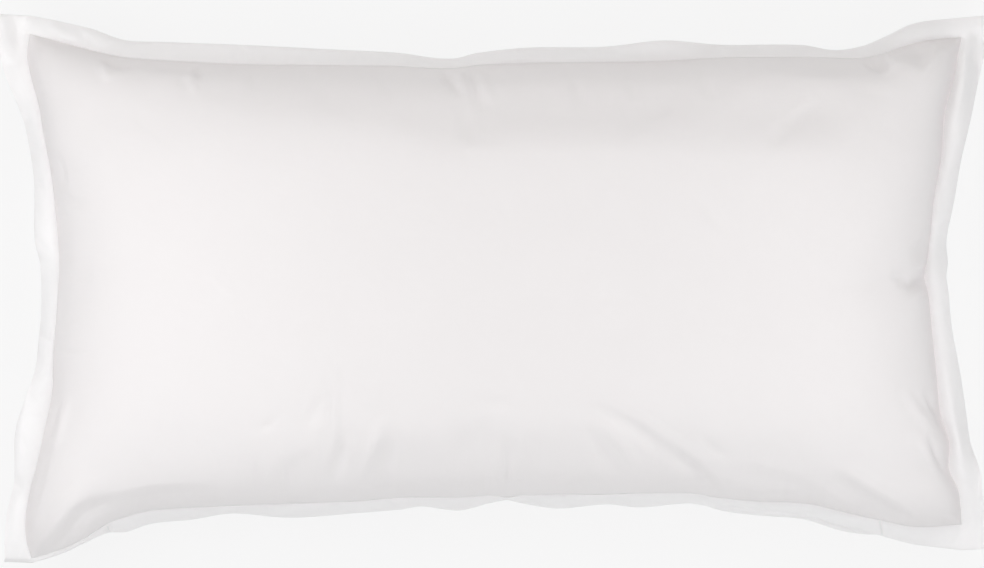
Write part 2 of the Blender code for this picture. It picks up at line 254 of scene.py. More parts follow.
CREASES = (
    # upper left corner
    Crease(-377, 215, -373, 208, -368, 199, 7, 2.8, 0.2),
    Crease(-376, 227, -362, 219, -343, 215, 11, -5, 0.1),
    Crease(-343, 217, -300, 213, -250, 211, 10, -2.5, 0.1),
    Crease(-285, 214, -283, 207, -278, 198, 5, -3.6, 0.5),
    Crease(-292, 206, -288, 196, -284, 186, 5, 2.4, 0.3),
    Crease(-302, 210, -299, 200, -293, 190, 4, -1.2, 0.3),
    Crease(-233, 212, -230, 201, -226, 188, 7, -1.2, 0.2),
    Crease(-180, 215, -177, 201, -173, 186, 7, -1, 0.2),
    Crease(-108, 213, -105, 200, -100, 184, 9, -1.4, 0.2),
    # left side
    Crease(-423, 95, -406, 84, -379, 78, 6, -2.1, 0.4),
    Crease(-418, 125, -413, 112, -412, 96, 6, -2, 0.4),
    Crease(-420, 12, -406, 10, -384, 7, 5, -1.7, 0.4),
    Crease(-422, -41, -408, -43, -393, -41, 5, -1.3, 0.4),
    Crease(-423, -58, -410, -61, -387, -62, 5, -1.8, 0.4),
    Crease(-409, -110, -415, -133, -424, -158, 7, 2.5, 0.3),
    Crease(-419, -106, -425, -131, -432, -152, 7, -3.4, 0.5),
    Crease(-428, -152, -434, -179, -443, -212, 6, -2.2, 0.4),
    # lower left ear
    Crease(-422, -253, -393, -220, -360, -204, 16, -6, 0.2),
    Crease(-433, -248, -410, -210, -380, -182, 14, 3, 0.1),
    Crease(-372, -210, -319, -200, -256, -198, 13, -4, 0.2),
    Crease(-231, -164, -229, -182, -227, -200, 7, -1.6, 0.2),
    Crease(-200, -166, -197, -182, -195, -198, 7, -1.6, 0.2),
    Crease(-214, -168, -213, -182, -211, -198, 7, 1.4, 0.2),
    # lower left fan
    Crease(-159, -103, -166, -117, -173, -135, 10, -3, 0.3),
    Crease(-204, -123, -214, -132, -225, -138, 8, -1.5, 0.2),
    Crease(-151, -78, -151, -116, -151, -162, 9, 2.4, 0.1),
    Crease(-139, -143, -146, -164, -154, -190, 11, -3.3, 0.3),
    Crease(-106, -128, -115, -155, -129, -188, 9, 3.2, 0.3),
    Crease(-94, -143, -100, -166, -109, -192, 10, -2.4, 0.2),
    # lower middle
    Crease(16, -149, 15, -172, 11, -198, 7, -3.4, 0.6),
    Crease(4, -157, 5, -174, 3, -194, 7, 1.4, 0.2),
    Crease(28, -139, 30, -155, 34, -174, 7, 1.8, 0.3),
    Crease(43, -143, 45, -161, 48, -182, 8, -1.2, 0.2),
    Crease(89, -174, 92, -184, 97, -199, 6, -1.2, 0.4),
    # long creases to the lower right
    Crease(101, -115, 139, -136, 168, -159, 12, -2.8, 0.1),
    Crease(218, -200, 192, -173, 164, -151, 12, -4.8, 0.3),
    Crease(108, -132, 126, -152, 144, -178, 9, 2.4, 0.3),
    Crease(92, -139, 106, -161, 127, -188, 10, -2.3, 0.3),
    Crease(141, -125, 176, -148, 207, -172, 10, 1.8, 0.2),
    Crease(199, -143, 212, -155, 231, -164, 10, -1.6, 0.2),
    Crease(239, -178, 286, -189, 333, -206, 15, -2.2, 0.2),
    Crease(408, -232, 360, -205, 320, -178, 15, -6, 0.2),
    Crease(341, -174, 378, -199, 423, -224, 12, 1.6, 0.1),
    # lower right ear
    Crease(417, -102, 428, -119, 439, -139, 7, -4.2, 0.4),
    Crease(394, -101, 410, -121, 427, -142, 9, 2.9, 0.4),
    Crease(421, -144, 429, -162, 439, -181, 6, -3.9, 0.5),
    Crease(411, -146, 421, -164, 431, -185, 6, 2, 0.3),
    # pinch in the right side
    Crease(421, 8, 403, 5, 379, 12, 12, -6.2, 0.2),
    Crease(419, 8, 405, 0, 392, -10, 6, -2.9, 0.4),
    Crease(424, 50, 412, 37, 398, 30, 12, -5, 0.1),
    Crease(417, 25, 410, 19, 399, 17, 5, 2, 0.3),
    # upper right ear
    Crease(363, 225, 370, 218, 381, 210, 12, -7.5, 0),
    Crease(377, 229, 384, 220, 392, 212, 8, 2.6, 0.1),
    Crease(400, 236, 412, 228, 424, 220, 18, -7, 0),
    Crease(284, 217, 324, 214, 363, 215, 14, -4, 0.1),
    Crease(346, 200, 372, 194, 399, 195, 12, 1, 0),
    # pucker under the middle of the top seam
    Crease(-54, 214, -43, 201, -31, 185, 8, -4.2, 0.4),
    Crease(-22, 208, -16, 191, -12, 170, 7, -3.5, 0.4),
    Crease(-37, 216, -30, 203, -24, 188, 6, 3, 0.4),
    Crease(-11, 217, -3, 210, 5, 201, 7, -2.5, 0.4),
    Crease(-11, 204, -5, 193, 1, 178, 6, 2.2, 0.3),
    Crease(-25, 170, -23, 155, -21, 137, 8, -1.6, 0.2),
    Crease(-38, 176, -37, 159, -38, 141, 8, 1.1, 0.2),
    Crease(78, 209, 81, 194, 85, 176, 8, -1.6, 0.2),
    Crease(130, 214, 133, 199, 139, 182, 8, -1.5, 0.2),
    Crease(200, 215, 204, 199, 210, 182, 10, -1.6, 0.2),
    # faint marks in the middle
    Crease(11, 82, 20, 70, 15, 55, 9, -1.6, 0.3),
    Crease(194, 92, 210, 70, 233, 44, 11, -1.6, 0.2),
    Crease(-267, 10, -254, -3, -240, -11, 10, -1.4, 0.2),
    Crease(-65, -11, -53, -6, -38, -4, 10, -1.2, 0.2),
    Crease(95, -11, 109, -7, 124, -8, 10, -1.4, 0.2),
    Crease(-6, -111, 8, -109, 27, -114, 10, -1.4, 0.2),
)
BORDER_CREASES = (
    # end of the upper left square
    Crease(-452, 266, -459, 240, -456, 214, 8, -1.5, 0),
    Crease(-479, 272, -477, 248, -474, 216, 17, 11, 0),
    Crease(-430, 260, -417, 246, -403, 231, 8, 1.8, 0.2),
    Crease(-401, 250, -393, 238, -386, 229, 7, -1.8, 0.2),
    # left border
    Crease(-449, 171, -449, 163, -447, 155, 6, -1.6, 0.3),
    Crease(-444, 149, -442, 141, -438, 134, 6, -1.2, 0.3),
    Crease(-438, 107, -437, 99, -433, 89, 6, -1.4, 0.3),
    Crease(-440, 48, -434, 41, -426, 33, 6, -1.2, 0.3),
    Crease(-438, -41, -432, -48, -426, -54, 6, -1.4, 0.3),
    Crease(-450, -93, -446, -103, -438, -112, 7, -1.2, 0.1),
    Crease(-453, -110, -442, -118, -432, -122, 7, -1, 0.1),
    Crease(-457, -143, -451, -153, -442, -161, 8, -1.2, 0.1),
    Crease(-465, -178, -461, -188, -453, -198, 7, -1.4, 0.3),
    Crease(-462, -84, -470, -130, -474, -180, 16, -9, 0),
    Crease(-468, -170, -473, -225, -473, -290, 18, 6, 0),
    # upper right square and side
    Crease(464, 244, 453, 207, 444, 158, 7, 1.5, 0.2),
    Crease(474, 238, 471, 196, 462, 150, 18, -13, 0),
    # right side, lower and middle
    Crease(455, -70, 462, -130, 477, -200, 18, -15, 0),
    Crease(441, 52, 440, 30, 440, 8, 16, -8, 0),
    Crease(450, -194, 453, -201, 459, -207, 5, 1.2, 0.3),
    Crease(459, -217, 455, -231, 447, -256, 8, -1.2, 0),
    # top border
    Crease(-400, 246, -30, 228, 470, 250, 18, 3.5, 0),
    Crease(-256, 233, -253, 225, -251, 217, 7, 1, 0.2),
    Crease(-227, 233, -224, 225, -222, 217, 7, 1, 0.2),
    Crease(-239, 233, -237, 225, -236, 217, 6, -1, 0.2),
    Crease(-186, 231, -184, 223, -183, 216, 8, 1, 0.2),
    Crease(-136, 230, -134, 223, -132, 215, 8, -1, 0.2),
    Crease(27, 231, 31, 224, 35, 217, 8, 1.2, 0.2),
    Crease(62, 233, 66, 225, 70, 218, 8, -1, 0.2),
    Crease(114, 234, 116, 226, 118, 219, 8, 1, 0.2),
    Crease(147, 234, 149, 227, 151, 220, 7, -1, 0.2),
    Crease(221, 234, 225, 227, 229, 220, 9, -1, 0.2),
    # bottom border, with a step at each end of its opening
    Crease(-373, -229, -372, -234, -370, -239, 5, -2.6, 0.2),
    Crease(377, -224, 379, -232, 380, -241, 5, -2.6, 0.2),
    Crease(-101, -202, -92, -207, -81, -211, 7, 1.8, 0.3),
    Crease(66, -198, 69, -205, 72, -212, 7, 1.2, 0.2),
    Crease(93, -198, 97, -205, 101, -212, 6, -1, 0.2),
    Crease(132, -198, 136, -205, 140, -212, 7, 1, 0.2),
    Crease(205, -208, 300, -219, 352, -233, 2.4, -2.6, 0.4),
    Crease(300, -219, 352, -233, 384, -240, 2.4, -2.6, 0.4),
    Crease(-252, -207, -248, -213, -244, -218, 7, -1, 0.2),
    Crease(-217, -207, -213, -213, -209, -219, 7, 1.2, 0.2),
)


def mix(start, end, share):
    """The value at a share of the way between two others."""
    return start + (end - start) * share


# ---------------------------------------------------------------- shape of the case

# A place on a panel is given by a, along its length, and b, across it. Both run from -1 to 1
# between the stitch lines. X and Y of the folds, creases and ripples are in millimetres


def read_rows(rows, along):
    """Every column of a table at many places, on smooth curves through its rows."""
    table = np.array(rows, dtype=float)
    places = table[:, 0]
    slopes = np.empty_like(table)
    slopes[1:-1] = (table[2:] - table[:-2]) / (places[2:] - places[:-2])[:, None]
    slopes[0] = (table[1] - table[0]) / (places[1] - places[0])
    slopes[-1] = (table[-1] - table[-2]) / (places[-1] - places[-2])
    spot = np.clip(np.searchsorted(places, along, side="right") - 1, 0, len(places) - 2)
    span = (places[spot + 1] - places[spot])[:, None]
    t = (along - places[spot])[:, None] / span
    curve = (
        mix(table[spot], table[spot + 1], (3.0 - 2.0 * t) * t * t)
        + slopes[spot] * span * (t - 1.0) ** 2 * t
        + slopes[spot + 1] * span * (t - 1.0) * t * t
    )
    return type(rows[0])(*curve.T)


def station(rows, share):
    """An edge's stations at shares, from -1 to 1, of its length."""
    return read_rows(rows, mix(rows[0].along, rows[-1].along, (share + 1.0) / 2.0))


def corner_blend(u, v, below, above):
    """Mixes four corner values, given as (left, right) pairs, at shares u and v of the panel."""
    return mix(mix(*below, u), mix(*above, u), v)


def stitch_plan(a, b):
    """Plan positions inside the stitch line, blended from its four edges, in metres."""
    top, bottom = station(TOP_EDGE, a), station(BOTTOM_EDGE, a)
    left, right = station(LEFT_EDGE, b), station(RIGHT_EDGE, b)
    u, v = (a + 1.0) / 2.0, (b + 1.0) / 2.0
    x = mix(bottom.along, top.along, v) + mix(-left.stitch, right.stitch, u)
    x -= corner_blend(
        u,
        v,
        (BOTTOM_EDGE[0].along, BOTTOM_EDGE[-1].along),
        (TOP_EDGE[0].along, TOP_EDGE[-1].along),
    )
    y = mix(-bottom.stitch, top.stitch, v) + mix(left.along, right.along, u)
    y -= corner_blend(
        u,
        v,
        (LEFT_EDGE[0].along, RIGHT_EDGE[0].along),
        (LEFT_EDGE[-1].along, RIGHT_EDGE[-1].along),
    )
    return x * MM, y * MM


def stitch_height(a, b):
    """Height of the stitch line, which droops towards the ears."""
    return SIDE_HEIGHT - (SIDE_HEIGHT - EAR_HEIGHT) * (a * b) ** EAR_NARROWNESS


def roundness(share, low_side, high_side):
    """Section of the fill: 1 along the middle, 0 with a blunt side at the stitch line."""
    flatness = np.where(share > 0, high_side.flatness, low_side.flatness)
    bluntness = np.where(share > 0, high_side.bluntness, low_side.bluntness)
    return np.maximum(0.0, 1.0 - np.abs(share) ** flatness) ** (1.0 / bluntness)


def from_seam(a, b):
    """Distance in from the stitch line, in metres."""
    return np.minimum((1.0 - np.abs(a)) * POCKET[0], (1.0 - np.abs(b)) * POCKET[1]) / 2.0


def swell(a, b):
    """Height of the fill, as a share: blunt at its sides, but drawn in by the stitches."""
    fill = roundness(a, LEFT_END, RIGHT_END) * roundness(b, BOTTOM_SIDE, TOP_SIDE)
    return fill * (1.0 - np.exp(-from_seam(a, b) / SEAM_DRAW))


def fold_rise(fold, x, y):
    """Height that one fold adds at points given in millimetres."""
    run_x, run_y = fold.x2 - fold.x1, fold.y2 - fold.y1
    reach = ((x - fold.x1) * run_x + (y - fold.y1) * run_y) / (run_x**2 + run_y**2)
    reach = np.clip(reach, 0.0, 1.0)
    off_x, off_y = x - fold.x1 - reach * run_x, y - fold.y1 - reach * run_y
    nearness = np.maximum(0.0, 1.0 - (off_x**2 + off_y**2) / fold.half_width**2)
    return fold.rise * nearness**2


def crease_rise(crease, x, y):
    """Height that one crease adds at points given in millimetres."""
    legs = (
        (crease.x1, crease.y1, crease.x2 - crease.x1, crease.y2 - crease.y1),
        (crease.x2, crease.y2, crease.x3 - crease.x2, crease.y3 - crease.y2),
    )
    lengths = [math.hypot(run_x, run_y) for _, _, run_x, run_y in legs]
    nearest = np.full(np.shape(x), np.inf)
    along = np.zeros(np.shape(x))
    for done, length, (from_x, from_y, run_x, run_y) in zip((0.0, lengths[0]), lengths, legs):
        reach = ((x - from_x) * run_x + (y - from_y) * run_y) / length**2
        reach = np.clip(reach, 0.0, 1.0)
        gap = np.hypot(x - from_x - reach * run_x, y - from_y - reach * run_y)
        closer = gap < nearest
        nearest = np.where(closer, gap, nearest)
        along = np.where(closer, (done + reach * length) / sum(lengths), along)
    off = np.minimum(1.0, nearest / crease.half_width)
    section = mix((1.0 - off**2) ** 2, (1.0 - off) ** 2, crease.sharpness)
    fade = np.sin(math.pi * mix(CREASE_START, 1.0, along)).clip(0.0, 1.0)
    return crease.rise * section * fade


def waves(along, lengths):
    """Uneven ripples of about 1 high, from waves of the given lengths."""
    parts = [
        np.sin(along * 2.0 * math.pi / length + WAVE_SHIFT * turn * turn)
        for turn, length in enumerate(lengths, start=1)
    ]
    return sum(parts) / 2.0


def crowded(share, crowding=END_CROWDING):
    """Spaces the cells closer towards the stitch line, where the sides turn down."""
    return (1.0 - crowding) * share + crowding * np.sin(share * math.pi / 2.0)


def body_points(a, b, is_front):
    """Points of the filled body's front or back, before its folds."""
    x, y = stitch_plan(a, b)
    height = stitch_height(a, b)
    if is_front:
        z = height + RIM / 2 + FRONT_SWELL * swell(a, b)
    else:
        z = np.maximum(0.0, height - RIM / 2 - BACK_SWELL * swell(a, b))
    return np.stack([x, y, z], axis=1)


def across(spot, share):
    """Distance from the middle, in millimetres, at a share of the border's width."""
    return spot.stitch + (spot.hem - spot.stitch) * share


def border_rise(spot, share):
    """Height above the stitch line, on one soft curve through the roll and the hem."""
    bend = 2.0 * spot.tip - 4.0 * spot.roll
    lean = 4.0 * spot.roll - spot.tip
    soft_start = 1.0 - np.exp(-share / LEVEL_SHARE)
    return (bend * share * share + lean * share) * soft_start


def border_points(a, b, out_a, out_b, is_back):
    """Points of a border layer's middle surface. out_a and out_b are shares of its width."""
    side_a, side_b = np.where(a > 0, 1.0, -1.0), np.where(b > 0, 1.0, -1.0)
    at_end, at_side = np.abs(a) >= 1.0, np.abs(b) >= 1.0
    upper, lower = station(TOP_EDGE, a), station(BOTTOM_EDGE, a)
    if is_back:
        slack = read_rows(OPENING, lower.along)
        drop = np.maximum(0.0, slack.drop)
        lower = lower._replace(roll=lower.roll - drop / 2.0, tip=lower.tip - drop)
    side = Station(*[np.where(b > 0, up, low) for up, low in zip(upper, lower)])
    left, right = station(LEFT_EDGE, b), station(RIGHT_EDGE, b)
    end = Station(*[np.where(a > 0, high, low) for high, low in zip(right, left)])
    if is_back:
        longer = np.maximum(0.0, slack.reach) / (lower.hem - lower.stitch)
        out_b = np.where(b > 0, out_b, out_b * (1.0 + longer))
    x = np.where(at_end, side_a * across(end, out_a), side.along)
    y = np.where(at_side, side_b * across(side, out_b), end.along)
    side_rise, end_rise = border_rise(side, out_b), border_rise(end, out_a)
    corners = [(side_a == i) & (side_b == j) for i, j in CORNERS]
    tip_x, tip_y, lift = [np.select(corners, values) for values in zip(*CORNERS.values())]
    both = at_end & at_side
    turn = out_a * out_b
    x = x + np.where(both, (tip_x - side_a * end.hem) * turn, 0.0)
    y = y + np.where(both, (tip_y - side_b * side.hem) * turn, 0.0)
    corner_rise = side_rise * (1 - out_a) + end_rise * (1 - out_b) + lift * turn
    rise = np.where(both, corner_rise, np.where(at_side, side_rise, end_rise))
    z = stitch_height(np.clip(a, -1, 1), np.clip(b, -1, 1)) + rise * MM
    return np.stack([x * MM, y * MM, z], axis=1)


# ---------------------------------------------------------------- meshes


def get_points(mesh):
    """A mesh's points, one in a row."""
    points = np.empty(len(mesh.vertices) * 3)
    mesh.vertices.foreach_get("co", points)
    return points.reshape(-1, 3)


def set_points(mesh, points):
    """Moves a mesh's points to the rows of an array."""
    mesh.vertices.foreach_set("co", np.ascontiguousarray(points, dtype=np.float32).ravel())
    mesh.update()


def new_piece(name, bm):
    """A smooth-shaded object of a bmesh, which it uses up."""
    mesh = bpy.data.meshes.new(name)
    bm.to_mesh(mesh)
    bm.free()
    mesh.shade_smooth()
    piece = bpy.data.objects.new(name, mesh)
    bpy.context.scene.collection.objects.link(piece)
    return piece


def write_uv(mesh, flat):
    """Gives each corner its point's place on the flat cloth, in metres."""
    layer = mesh.uv_layers.new(name="flat_cloth")
    corners = np.empty(len(mesh.loops), dtype=np.int32)
    mesh.loops.foreach_get("vertex_index", corners)
    layer.data.foreach_set("uv", np.ascontiguousarray(flat[corners], dtype=np.float32).ravel())


def laid_flat(points):
    """Length along a line of points, measured from its middle."""
    steps = np.linalg.norm(np.diff(points, axis=0), axis=1)
    along = np.concatenate([[0.0], np.cumsum(steps)])
    return along - along[-1] / 2.0


def flat_places(share, is_length):
    """Place on the flat cloth of shares of the case's length or width."""
    samples = np.linspace(-1.0, 1.0, LENGTH_SAMPLES)
    middle = np.zeros_like(samples)
    line = body_points(samples, middle, True) if is_length else body_points(middle, samples, True)
    return np.interp(share, samples, laid_flat(line))


def apply_modifiers(piece):
    """Bakes a piece's modifiers into its mesh."""
    graph = bpy.context.evaluated_depsgraph_get()
    baked = bpy.data.meshes.new_from_object(piece.evaluated_get(graph), depsgraph=graph)
    piece.modifiers.clear()
    old, piece.data = piece.data, baked
    name = old.name
    bpy.data.meshes.remove(old)
    baked.name = name


def body_grid(body):
    """The flat grid's coordinates of the panels' points, kept as an attribute."""
    grid = np.empty(len(body.data.vertices) * 3)
    body.data.attributes["grid"].data.foreach_get("vector", grid)
    return grid.reshape(-1, 3)


def make_body():
    """Front and back panels out to the stitch line, joined by the sewn rim."""
    bm = bmesh.new()
    crease = bm.edges.layers.float.new("crease_edge")
    corner = bm.verts.layers.float.new("crease_vert")
    for level in (1.0, -1.0):
        panel = bmesh.ops.create_grid(
            bm, x_segments=BODY_CELLS[0], y_segments=BODY_CELLS[1], size=1.0
        )["verts"]
        for vert in panel:
            vert.co.z = level
    rims = [edge for edge in bm.edges if edge.is_boundary]
    for edge in rims:
        edge[crease] = 1.0
    for vert in bm.verts:
        if vert.is_boundary and len(vert.link_faces) == 1:
            vert[corner] = 1.0
    bmesh.ops.bridge_loops(bm, edges=rims)
    bmesh.ops.recalc_face_normals(bm, faces=bm.faces[:])
    body = new_piece("cotton_panels", bm)
    grid = get_points(body.data)
    places = body.data.attributes.new("grid", "FLOAT_VECTOR", "POINT")
    places.data.foreach_set("vector", np.ascontiguousarray(grid, dtype=np.float32).ravel())
    a, b, is_front = crowded(grid[:, 0]), crowded(grid[:, 1]), grid[:, 2] > 0
    points = np.where(is_front[:, None], body_points(a, b, True), body_points(a, b, False))
    points[:, 0] += np.where(np.abs(a) > ON_SEAM, np.sign(a) * SEAM_LAP, 0.0)
    points[:, 1] += np.where(np.abs(b) > ON_SEAM, np.sign(b) * SEAM_LAP, 0.0)
    set_points(body.data, points)
    write_uv(body.data, np.stack([flat_places(a, True), flat_places(b, False)], axis=1))
    return body


def swell_panels(body):
    """Blows the slack panels up on their fixed seam and underside, then keeps what moved."""
    start = get_points(body.data)
    edge = np.abs(body_grid(body)[:, :2]).max(axis=1)
    resting = start[:, 2] < RESTING_HEIGHT
    held = body.vertex_groups.new(name="held")
    held.add(np.flatnonzero((edge > ON_SEAM) | resting).tolist(), 1.0, "REPLACE")
    cloth = body.modifiers.new("cloth", "CLOTH")
    settings = cloth.settings
    settings.quality = 6
    settings.mass = 0.15
    settings.use_pressure = True
    settings.uniform_pressure_force = 4.0
    settings.tension_stiffness = 20.0
    settings.compression_stiffness = 20.0
    settings.shear_stiffness = 8.0
    settings.bending_stiffness = 0.6
    settings.shrink_min = -SLACK
    settings.vertex_group_mass = "held"
    settings.effector_weights.gravity = 0.0
    cloth.collision_settings.use_collision = False
    cloth.point_cache.frame_start = 1
    cloth.point_cache.frame_end = SIM_FRAMES
    for step in range(1, SIM_FRAMES + 1):
        bpy.context.scene.frame_set(step)
    apply_modifiers(body)
    bpy.context.scene.frame_set(1)
    moved = get_points(body.data) - start
    grid = body_grid(body)
    near_corner = (crowded(grid[:, 0]) * crowded(grid[:, 1])) ** 2
    moved *= np.clip(1.0 - CORNER_CALM * near_corner, 0.0, 1.0)[:, None]
    far = np.linalg.norm(moved, axis=1)
    points = start + moved / np.sqrt(1.0 + (far / MOVE_CAP) ** 2)[:, None]
    points[:, 2] = np.maximum(points[:, 2], 0.0)
    set_points(body.data, points)


def fold_panels(body):
    """Presses folds, creases and seam puckers into the front panel."""
    points = get_points(body.data)
    normals = np.empty(len(points) * 3)
    body.data.vertices.foreach_get("normal", normals)
    grid = body_grid(body)
    a, b = crowded(grid[:, 0]), crowded(grid[:, 1])
    x, y = points[:, 0] / MM, points[:, 1] / MM
    rise = sum(fold_rise(fold, x, y) for fold in FOLDS)
    rise += sum(crease_rise(crease, x, y) for crease in CREASES)
    near_end, near_side = [
        np.exp(-(1.0 - np.abs(share)) / reach) for share, reach in zip((a, b), PUCKER_REACH)
    ]
    rise += SEAM_PUCKER * (
        near_side * waves(x, PUCKER_WAVES[0]) + near_end * waves(y, PUCKER_WAVES[1])
    )
    on_front = np.clip(grid[:, 2], 0.0, 1.0)
    free = np.clip(from_seam(a, b) / SEAM_HOLD, 0.0, 1.0) * on_front
    points += normals.reshape(-1, 3) * (rise * free * MM)[:, None]
    set_points(body.data, points)


def border_places(grid, cells):
    """Panel coordinates and shares of the border crossed, for grid lines of the bordered panel."""
    rows = BORDER_ROWS
    line = np.rint((grid + 1.0) / 2.0 * (cells + 2 * rows)).astype(int)
    low, high = line <= rows, line >= rows + cells
    shares = np.linspace(1.0, 0.0, rows + 1)
    out = np.where(low, shares[np.clip(line, 0, rows)], 0.0)
    out = np.where(high, shares[np.clip(2 * rows + cells - line, 0, rows)], out)
    inside = crowded(2.0 * (line - rows) / cells - 1.0, BORDER_CROWDING)
    return np.where(low, -1.0, np.where(high, 1.0, inside)), out


def ease_border(layer, a, b, out_a, out_b):
    """Softens the bends where the border turns its corners, then adds its ripples and folds."""
    share = np.maximum(out_a, out_b)
    off_stitches = np.clip(share / STIFF_SHARE, 0.0, 1.0)
    from_corner = (1.0 - np.abs(a)) * POCKET[0] + (1.0 - np.abs(b)) * POCKET[1]
    loose = off_stitches * np.exp(-from_corner / CORNER_REACH)
    free = layer.vertex_groups.new(name="free")
    for spot in np.flatnonzero(loose > LEAST_EASE).tolist():
        free.add([spot], float(loose[spot]), "REPLACE")
    ease = layer.modifiers.new("ease", "SMOOTH")
    ease.factor = 0.5
    ease.iterations = EASE_STEPS
    ease.use_x = ease.use_y = False
    ease.vertex_group = "free"
    apply_modifiers(layer)
    points = get_points(layer.data)
    x, y = points[:, 0] / MM, points[:, 1] / MM
    rise = HEM_RIPPLE * waves(x, HEM_WAVES[0]) * waves(y, HEM_WAVES[1]) * share**2
    rise += off_stitches * sum(crease_rise(crease, x, y) for crease in BORDER_CREASES)
    rise -= np.where(b < 0.0, *HEM_CURL) * out_b**CURL_NARROWNESS
    points[:, 2] += rise * MM
    set_points(layer.data, points)


def make_border(name, is_back):
    """One layer of the flat border: a panel with its middle left out, given its thickness."""
    rows = BORDER_ROWS
    bm = bmesh.new()
    total = [cells + 2 * rows for cells in BORDER_CELLS]
    bmesh.ops.create_grid(bm, x_segments=total[0], y_segments=total[1], size=1.0)
    inside = [cells / all_cells for cells, all_cells in zip(BORDER_CELLS, total)]
    middle = [
        face
        for face in bm.faces
        if all(abs(c) < reach for c, reach in zip(face.calc_center_median(), inside))
    ]
    bmesh.ops.delete(bm, geom=middle, context="FACES")
    layer = new_piece(name, bm)
    grid = get_points(layer.data)
    a, out_a = border_places(grid[:, 0], BORDER_CELLS[0])
    b, out_b = border_places(grid[:, 1], BORDER_CELLS[1])
    set_points(layer.data, border_points(a, b, out_a, out_b, is_back))
    ease_border(layer, a, b, out_a, out_b)
    flat_x = flat_places(a, True) + np.sign(a) * out_a * BORDER_WIDTH
    flat_y = flat_places(b, False) + np.sign(b) * out_b * BORDER_WIDTH
    write_uv(layer.data, np.stack([flat_x, flat_y], axis=1))
    wall = layer.modifiers.new("cloth", "SOLIDIFY")
    wall.thickness = CLOTH
    wall.offset = (-1.0 if is_back else 1.0) * (1.0 + LAYER_GAP / CLOTH)
    wall.use_even_offset = True
    hem = layer.modifiers.new("rounded_hem", "BEVEL")
    hem.width = HEM_ROUNDING
    hem.segments = 2
    hem.limit_method = "ANGLE"
    hem.angle_limit = SHARP_BEND
    apply_modifiers(layer)
    return layer


# ---------------------------------------------------------------- stitches

# Sewing thread: how far apart the stitches start, how long, wide and high one is, and the
# least and the most that it turns from the row
Thread = namedtuple("Thread", "pitch length width height least_turn most_turn")

SEAM_THREAD = Thread(0.0027, 0.0022, 0.00042, 0.00030, -0.07, 0.07)
TACK_THREAD = Thread(0.0006, 0.0028, 0.00050, 0.00040, 1.35, 1.65)
STITCH_SEED = 4  # of the stitches' uneven turns
STITCH_SHARE = 0.06  # the row's place across the border
ROW_SAMPLES = 700  # points of the row along each edge
TACKS = ((-373, -231, -369, -240), (375, -226, 379, -241))  # the opening's ends, in millimetres
TACK_SAMPLES = 12


def add_node(tree, kind, inputs=(), **settings):
    """Adds a node, sets it up and feeds its sockets from values or other nodes' outputs."""
    node = tree.nodes.new(kind)
    for key, value in settings.items():
        setattr(node, key, value)
    for key, value in dict(inputs).items():
        if isinstance(value, bpy.types.NodeSocket):
            tree.links.new(value, node.inputs[key])
        else:
            node.inputs[key].default_value = value
    return node


def stitch_tree():
    """Geometry nodes that lay low rounded stitches along a path, square to its up direction."""
    tree = bpy.data.node_groups.new("stitch_row", "GeometryNodeTree")
    sockets = tree.interface
    sockets.new_socket("Path", in_out="INPUT", socket_type="NodeSocketGeometry")
    for name in Thread._fields:
        sockets.new_socket(name, in_out="INPUT", socket_type="NodeSocketFloat")
    sockets.new_socket("thread", in_out="INPUT", socket_type="NodeSocketMaterial")
    sockets.new_socket("Stitches", in_out="OUTPUT", socket_type="NodeSocketGeometry")
    given = add_node(tree, "NodeGroupInput").outputs
    curve = add_node(tree, "GeometryNodeMeshToCurve", {"Mesh": given["Path"]})
    spots = add_node(
        tree,
        "GeometryNodeResampleCurve",
        {"Curve": curve.outputs[0], "Length": given["pitch"]},
        mode="LENGTH",
    )
    tangent = add_node(tree, "GeometryNodeInputTangent")
    up = add_node(tree, "GeometryNodeInputNamedAttribute", {"Name": "up"}, data_type="FLOAT_VECTOR")
    along = add_node(
        tree, "FunctionNodeAlignRotationToVector", {"Vector": tangent.outputs[0]}, axis="X"
    )
    upright = add_node(
        tree,
        "FunctionNodeAlignRotationToVector",
        {"Rotation": along.outputs[0], "Vector": up.outputs["Attribute"]},
        axis="Z",
        pivot_axis="X",
    )
    low = add_node(tree, "ShaderNodeCombineXYZ", {"Z": given["least_turn"]})
    high = add_node(tree, "ShaderNodeCombineXYZ", {"Z": given["most_turn"]})
    wander = add_node(
        tree,
        "FunctionNodeRandomValue",
        {0: low.outputs[0], 1: high.outputs[0], "Seed": STITCH_SEED},
        data_type="FLOAT_VECTOR",
    )
    turned = add_node(
        tree,
        "FunctionNodeRotateRotation",
        {"Rotation": upright.outputs[0], "Rotate By": wander.outputs[0]},
        rotation_space="LOCAL",
    )
    size = add_node(
        tree,
        "ShaderNodeCombineXYZ",
        {"X": given["length"], "Y": given["width"], "Z": given["height"]},
    )
    bead = add_node(
        tree, "GeometryNodeMeshUVSphere", {"Segments": 6, "Rings": 4, "Radius": 0.5}
    )
    stitch = add_node(
        tree, "GeometryNodeTransform", {"Geometry": bead.outputs[0], "Scale": size.outputs[0]}
    )
    row = add_node(
        tree,
        "GeometryNodeInstanceOnPoints",
        {
            "Points": spots.outputs[0],
            "Instance": stitch.outputs[0],
            "Rotation": turned.outputs[0],
        },
    )
    real = add_node(tree, "GeometryNodeRealizeInstances", {"Geometry": row.outputs[0]})
    smooth = add_node(tree, "GeometryNodeSetShadeSmooth", {"Geometry": real.outputs[0]})
    sewn = add_node(
        tree,
        "GeometryNodeSetMaterial",
        {"Geometry": smooth.outputs[0], "Material": given["thread"]},
    )
    add_node(tree, "NodeGroupOutput", {"Stitches": sewn.outputs[0]})
    return tree


